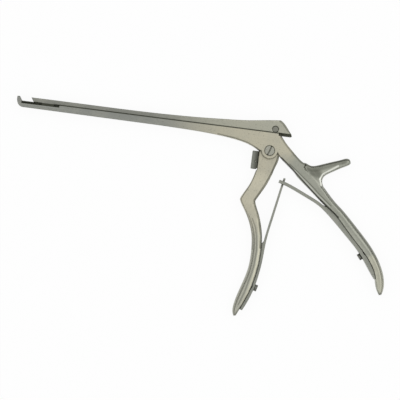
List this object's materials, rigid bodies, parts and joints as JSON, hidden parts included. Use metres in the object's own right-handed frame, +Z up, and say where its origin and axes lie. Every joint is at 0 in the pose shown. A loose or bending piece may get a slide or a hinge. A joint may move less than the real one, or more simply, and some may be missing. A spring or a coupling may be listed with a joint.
{
  "type": "kerrison rongeur",
  "caption": "Steel bone punch with a long shaft, an up-cutting footplate, a sliding cutter and squeeze handles spread by crossing leaf springs.",
  "frame": {"origin": "on the axis of the handle pivot, level with the surface the instrument lies on", "axes": "+X along the shaft from the footplate to the hand, +Y from the handles to the slide, +Z up from the surface"},
  "size_m": [0.2904, 0.1494, 0.01],
  "materials": {
    "frame_steel": "satin",
    "slide_steel": "satin",
    "handle_steel": "satin",
    "spring_steel": "satin",
    "pin_steel": "turned",
    "screw_steel": "turned",
    "catch_steel": "satin"
  },
  "bodies": {
    "frame": {"main_frame": "frame_steel", "pivot_screw": "pin_steel", "rear_leaf_spring": "spring_steel", "rear_spring_screw": "screw_steel"},
    "slide": {"upper_slide": "slide_steel", "slide_cross_pin": "pin_steel"},
    "handle": {"front_handle": "handle_steel", "front_leaf_spring": "spring_steel", "front_spring_screw": "screw_steel", "catch_pin": "pin_steel", "catch_spring": "spring_steel"},
    "catch": {"release_catch": "catch_steel"}
  },
  "joints": [
    {"name": "handle_squeeze", "type": "hinge", "parent": "frame", "child": "handle", "pos_m": [0, 0, 0.005], "axis": [0, 0, 1], "range_deg": [0, 29.9], "stiffness_Nm_per_rad": 1.2, "springref_deg": -2.86, "deforming": ["rear_leaf_spring", "front_leaf_spring"]},
    {"name": "slide_stroke", "type": "slide", "parent": "frame", "child": "slide", "axis": [-1, 0, 0], "range_m": [0, 0.0089]},
    {"name": "catch_press", "type": "hinge", "parent": "handle", "child": "catch", "pos_m": [-0.0096, -0.0092, 0.005], "axis": [0, 0, 1], "range_deg": [0, 12], "stiffness_Nm_per_rad": 0.01, "springref_deg": -1.15, "deforming": ["catch_spring"]}
  ],
  "couplings": [
    {"joint": "slide_stroke", "follows": "handle_squeeze", "m_per_rad": 0.01705}
  ]
}
